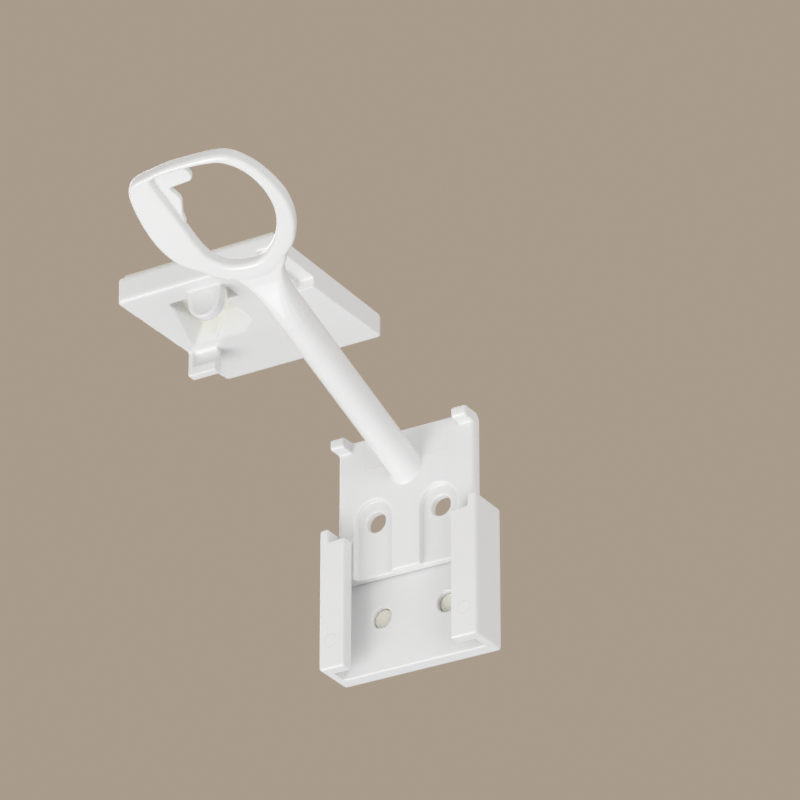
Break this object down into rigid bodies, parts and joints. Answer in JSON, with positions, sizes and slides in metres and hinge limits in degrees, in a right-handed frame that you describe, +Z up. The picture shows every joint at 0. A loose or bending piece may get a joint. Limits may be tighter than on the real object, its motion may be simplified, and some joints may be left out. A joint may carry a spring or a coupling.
{
  "type": "cabinet safety lock",
  "caption": "White cabinet safety lock: a finger-ring latch arm that slides up out of a channel bracket on the door, and a catch plate with a hanging tab for the cabinet top.",
  "frame": {"origin": "back of the door bracket, midway between its two screw holes", "axes": "+X along the door, +Y into the door, +Z up"},
  "size_m": [0.0679, 0.0974, 0.0863],
  "materials": {
    "white_plastic": "moulded semi-gloss white",
    "adhesive_foam": "cream double-sided foam"
  },
  "bodies": {
    "mounted_set": {"door_bracket": "white_plastic", "bracket_adhesive_pad": "adhesive_foam", "catch_plate": "white_plastic", "catch_adhesive_pad": "adhesive_foam"},
    "arm": {"latch_arm": "white_plastic"}
  },
  "joints": [
    {"name": "arm_slide", "type": "slide", "parent": "mounted_set", "child": "arm", "axis": [0, 0, 1], "range_m": [-0.0214, 0.0119]}
  ]
}
